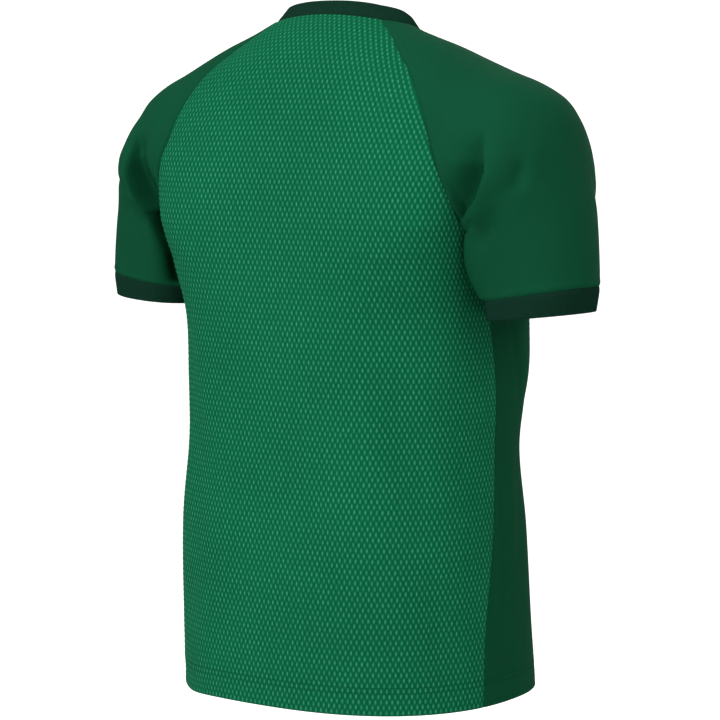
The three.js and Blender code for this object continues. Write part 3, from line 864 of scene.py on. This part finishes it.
def tone_group():
    """A colour made unevenly lighter and darker by soft clouds, as dyed cloth is."""
    inputs = [("Colour", COLOUR), ("Size", FLOAT), ("Amount", FLOAT)]
    tree, start, end = new_group("uneven_tone", inputs, [("Colour", COLOUR)])
    place = node(tree, "ShaderNodeTexCoord").outputs["Object"]
    cloud = node(tree, "ShaderNodeTexNoise", {"Vector": place, "Scale": start.outputs["Size"], "Detail": 3.0})
    lift = math_node(tree, "MULTIPLY", math_node(tree, "SUBTRACT", cloud.outputs[0], 0.5), start.outputs["Amount"])
    tone = node(tree, "ShaderNodeHueSaturation", {"Value": math_node(tree, "ADD", lift, 1.0),
                                                  "Color": start.outputs["Colour"]})
    tree.links.new(tone.outputs[0], end.inputs["Colour"])
    return tree


def srgb(red, green, blue):
    """A colour given as it looks on screen, from 0 to 255, in the renderer's linear light."""
    value = np.array([red, green, blue]) / 255
    linear = np.where(value <= 0.04045, value / 12.92, ((value + 0.055) / 1.055) ** 2.4)
    return (*linear.tolist(), 1.0)


def empty_material(name, roughness):
    """A matt material with a weak shine, as knit has."""
    material = bpy.data.materials.new(name)
    material.use_nodes = True
    shader = material.node_tree.nodes["Principled BSDF"]
    shader.inputs["Roughness"].default_value = roughness
    shader.inputs["Specular IOR Level"].default_value = 0.02
    return material, material.node_tree, shader


def group_node(tree, group, inputs):
    """A group put into a material with its own values."""
    made = tree.nodes.new("ShaderNodeGroup")
    made.node_tree = group
    for key, value in inputs.items():
        if isinstance(value, bpy.types.NodeSocket):
            tree.links.new(value, made.inputs[key])
        else:
            made.inputs[key].default_value = value
    return made


def dashed_knit(groups, ground, gap, light):
    """Green knit with staggered light dashes and darker lines between their columns."""
    material, tree, shader = empty_material("dashed_knit", 0.8)
    flat = node(tree, "ShaderNodeUVMap", uv_map="cloth").outputs[0]
    cells = group_node(tree, groups["dash"], {
        "Flat": flat, "Column": DASH_COLUMN * MM, "Row": DASH_ROW * MM,
        "Width": DASH_WIDTH * MM, "Length": DASH_LENGTH * MM,
    })
    base = node(tree, "ShaderNodeMix", {"Factor": cells.outputs["Between"], 6: ground, 7: gap}, data_type="RGBA")
    strength = math_node(tree, "MULTIPLY", cells.outputs["Dash"],
                         math_node(tree, "MULTIPLY_ADD", cells.outputs["Chance"], 0.45, 0.5))
    dashed = node(tree, "ShaderNodeMix", {"Factor": strength, 6: base.outputs[2], 7: light}, data_type="RGBA")
    tone = group_node(tree, groups["tone"], {"Colour": dashed.outputs[2], "Size": 9.0, "Amount": 0.25})
    tree.links.new(tone.outputs[0], shader.inputs["Base Color"])
    loops = group_node(tree, groups["loop"], {"Flat": flat, "Wale": 0.9 * MM})
    height = math_node(tree, "MULTIPLY_ADD", cells.outputs["Dash"], 1.2, loops.outputs[0])
    bump = node(tree, "ShaderNodeBump", {"Strength": 0.4, "Distance": 0.2 * MM, "Height": height})
    tree.links.new(bump.outputs[0], shader.inputs["Normal"])
    return material


def smooth_knit(name, groups, colour, wale, depth):
    """Plain fine knit with a soft, slightly uneven colour, and painted shade where its loops sink and painted light
    on their tops.
    """
    material, tree, shader = empty_material(name, 0.75)
    flat = node(tree, "ShaderNodeUVMap", uv_map="cloth").outputs[0]
    loops = group_node(tree, groups["loop"], {"Flat": flat, "Wale": wale * MM})
    # Painted shade and light: the colour is darker where the loops' height is low and lighter where it is high.
    shade = node(tree, "ShaderNodeHueSaturation", {
        "Value": math_node(tree, "MULTIPLY_ADD", loops.outputs[0], 0.14, 0.93), "Color": colour,
    })
    tone = group_node(tree, groups["tone"], {"Colour": shade.outputs[0], "Size": 11.0, "Amount": 0.2})
    tree.links.new(tone.outputs[0], shader.inputs["Base Color"])
    bump = node(tree, "ShaderNodeBump", {"Strength": 0.4, "Distance": depth * MM, "Height": loops.outputs[0]})
    tree.links.new(bump.outputs[0], shader.inputs["Normal"])
    return material


# Scene

groups = {"dash": dash_group(), "loop": loop_group(), "tone": tone_group()}
panel_knit = dashed_knit(groups, srgb(15, 105, 70), srgb(8, 91, 58), srgb(60, 147, 110))
sleeve_knit = smooth_knit("sleeve_knit", groups, srgb(15, 76, 50), 0.8, 0.12)
side_knit = smooth_knit("side_knit", groups, srgb(12, 73, 47), 0.8, 0.12)
rib_knit = smooth_knit("rib_knit", groups, srgb(18, 50, 38), 0.9, 0.12)
thread = smooth_knit("thread", groups, srgb(20, 88, 58), 0.3, 0.05)
hem_thread = smooth_knit("hem_thread", groups, srgb(4, 54, 34), 0.3, 0.05)


pieces = cut_pieces()
finishes = {
    "back": (panel_knit, "body_knit"),
    "front": (panel_knit, "body_knit"),
    "side_left": (side_knit, "side_knit"),
    "side_right": (side_knit, "side_knit"),
    "sleeve_left": (sleeve_knit, "sleeve_knit"),
    "sleeve_right": (sleeve_knit, "sleeve_knit"),
}
for name, (material, slot) in finishes.items():
    cloth = pieces[name]
    panel = cloth_object(cloth, material)
    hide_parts(name)
    if name in ("back", "front"):
        dashes(cloth, material)
    if name.startswith("sleeve"):
        stitches(name + "_cuff_stitches", cloth, [cloth.v[-1] - CUFF_STITCH_RISE], thread)
    else:
        low = cloth.v[-1] - HEM_STITCH_RISE
        stitches(name + "_hem_stitches", cloth, [low, low + HEM_ROW_GAP], hem_thread)

cuffs = cuff_rings()
bands = {
    "collar": (collar_rings(pieces), True),
    "cuff_left": (cuffs, False),
    "cuff_right": (mirrored(cuffs), True),
}
for name, (rings, outward) in bands.items():
    band = rib_band(name, rings, outward, rib_knit)
    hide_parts(name)

# Camera: behind the wearer and to the right, a little below the chest
CAMERA_YAW = math.radians(34.34)
CAMERA_DISTANCE = 2.796
CAMERA_HEIGHT = -0.0766
CAMERA_PITCH = math.radians(5.67)
CAMERA_ASIDE = 0.0048
CAMERA_LENS = 132.4

camera = bpy.data.objects.new("camera", bpy.data.cameras.new("camera"))
camera.data.lens = CAMERA_LENS
camera.data.sensor_width = 36
camera.data.clip_end = 60
near = np.array([-math.sin(CAMERA_YAW), math.cos(CAMERA_YAW), 0])
right = np.array([-math.cos(CAMERA_YAW), -math.sin(CAMERA_YAW), 0])
camera.location = near * CAMERA_DISTANCE + right * CAMERA_ASIDE + np.array([0, 0, CAMERA_HEIGHT])
camera.rotation_euler = (math.pi / 2 - CAMERA_PITCH, 0, math.pi + CAMERA_YAW)
bpy.context.scene.collection.objects.link(camera)
bpy.context.scene.camera = camera

# Stage: a pale floor far below and soft lights
FLOOR_Z = -1.45


def backdrop():
    """A round pale floor that turns up into a far wall: a quarter-round profile turned about the middle."""
    turn = np.linspace(0, 2 * np.pi, 97)[:-1]
    bend = np.linspace(0, np.pi / 2, 13)
    out = np.concatenate([[0.05, 4], 9 + 5 * np.sin(bend), [14]])
    up = np.concatenate([[0, 0], 5 - 5 * np.cos(bend), [14]])
    points = np.stack([out[:, None] * np.cos(turn), out[:, None] * np.sin(turn),
                       np.broadcast_to(up[:, None], (len(up), len(turn))) + FLOOR_Z], axis=-1)
    ids = np.arange(points[..., 0].size).reshape(len(out), -1)
    around = np.roll(ids, -1, axis=1)
    quads = np.stack([ids[:-1], ids[1:], around[1:], around[:-1]], axis=-1).reshape(-1, 4)
    return mesh_object("floor", points.reshape(-1, 3) / MM, quads)


def soft_light(name, energy, size, place, target=(0, 0, -0.3), colour=(1, 1, 1)):
    lamp = bpy.data.lights.new(name, "AREA")
    lamp.energy = energy
    lamp.size = size
    lamp.color = colour
    thing = bpy.data.objects.new(name, lamp)
    direction = np.subtract(place, target)
    across = math.hypot(direction[0], direction[1])
    thing.location = place
    thing.rotation_euler = (math.atan2(across, direction[2]), 0, math.atan2(direction[0], -direction[1]))
    bpy.context.scene.collection.objects.link(thing)
    return thing


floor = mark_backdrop(backdrop())
pale, tree, shader = empty_material("pale_floor", 0.9)
shader.inputs["Base Color"].default_value = (0.8, 0.8, 0.8, 1)
shader.inputs["Emission Strength"].default_value = 0.9
seen = node(tree, "ShaderNodeLightPath").outputs["Is Camera Ray"]
tree.links.new(seen, shader.inputs["Emission Color"])
bpy.data.objects["floor"].data.materials.append(pale)

soft_light("key", 74, 1.3, (0.1, 2.4, 2.3))
soft_light("back_fill", 25, 2.0, (0.7, 3.1, 0.1))
soft_light("right_fill", 24, 1.6, (-3.0, 0.2, 1.0))
soft_light("front_fill", 30, 2.6, (0.5, -3.2, 1.0))

world = bpy.data.worlds.new("world")
world.use_nodes = True
world.node_tree.nodes["Background"].inputs[0].default_value = (1, 1, 1, 1)
world.node_tree.nodes["Background"].inputs[1].default_value = 0.5
bpy.context.scene.world = world
bpy.context.scene.view_settings.view_transform = "Standard"
